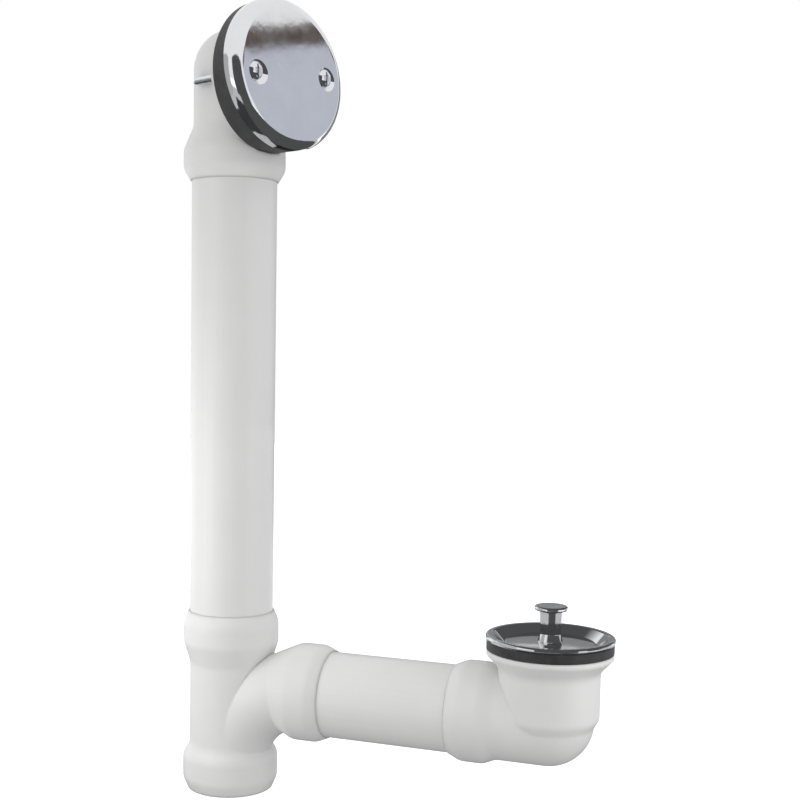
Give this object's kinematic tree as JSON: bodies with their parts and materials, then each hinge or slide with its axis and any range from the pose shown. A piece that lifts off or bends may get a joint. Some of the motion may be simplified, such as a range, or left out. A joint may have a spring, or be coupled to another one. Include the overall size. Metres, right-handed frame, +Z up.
{
  "type": "bath waste and overflow",
  "caption": "White pipe bath waste with a swept tee, a chromed drain with a lift-and-turn stopper, and an overflow elbow behind a round chromed plate.",
  "frame": {"origin": "centre of the tee's outlet mouth, at the bottom", "axes": "+Z up along the overflow tube, +X from that tube to the drain, +Y to the back"},
  "size_m": [0.2518, 0.088, 0.4463],
  "materials": {
    "white_pvc": "moulded, semi-gloss",
    "black_rubber": "matt",
    "chrome": "polished plating",
    "brass": "turned",
    "steel": "plain"
  },
  "bodies": {
    "waste": {"waste_tee": "white_pvc", "overflow_tube": "white_pvc", "waste_tube": "white_pvc", "overflow_elbow": "white_pvc", "overflow_gasket": "black_rubber", "overflow_plate": "chrome", "plate_screws": "chrome", "screw_inserts": "brass", "waste_shoe": "white_pvc", "shoe_gasket": "black_rubber", "drain_flange": "chrome", "stopper_post": "brass"},
    "seal": {"stopper_seal": "black_rubber"},
    "stopper": {"stopper_disc": "chrome", "stopper_knob": "chrome", "knob_set_screw": "steel"}
  },
  "joints": [
    {"name": "stopper_lift", "type": "slide", "parent": "waste", "child": "seal", "axis": [0, 0, 1], "range_m": [0, 0.009]},
    {"name": "stopper_turn", "type": "hinge", "parent": "seal", "child": "stopper", "pos_m": [0.1885, 0, 0.105], "axis": [0, 0, 1], "range_deg": [0, 120]}
  ],
  "couplings": [
    {"joint": "stopper_lift", "follows": "stopper_turn", "m_per_rad": 0.004297}
  ]
}
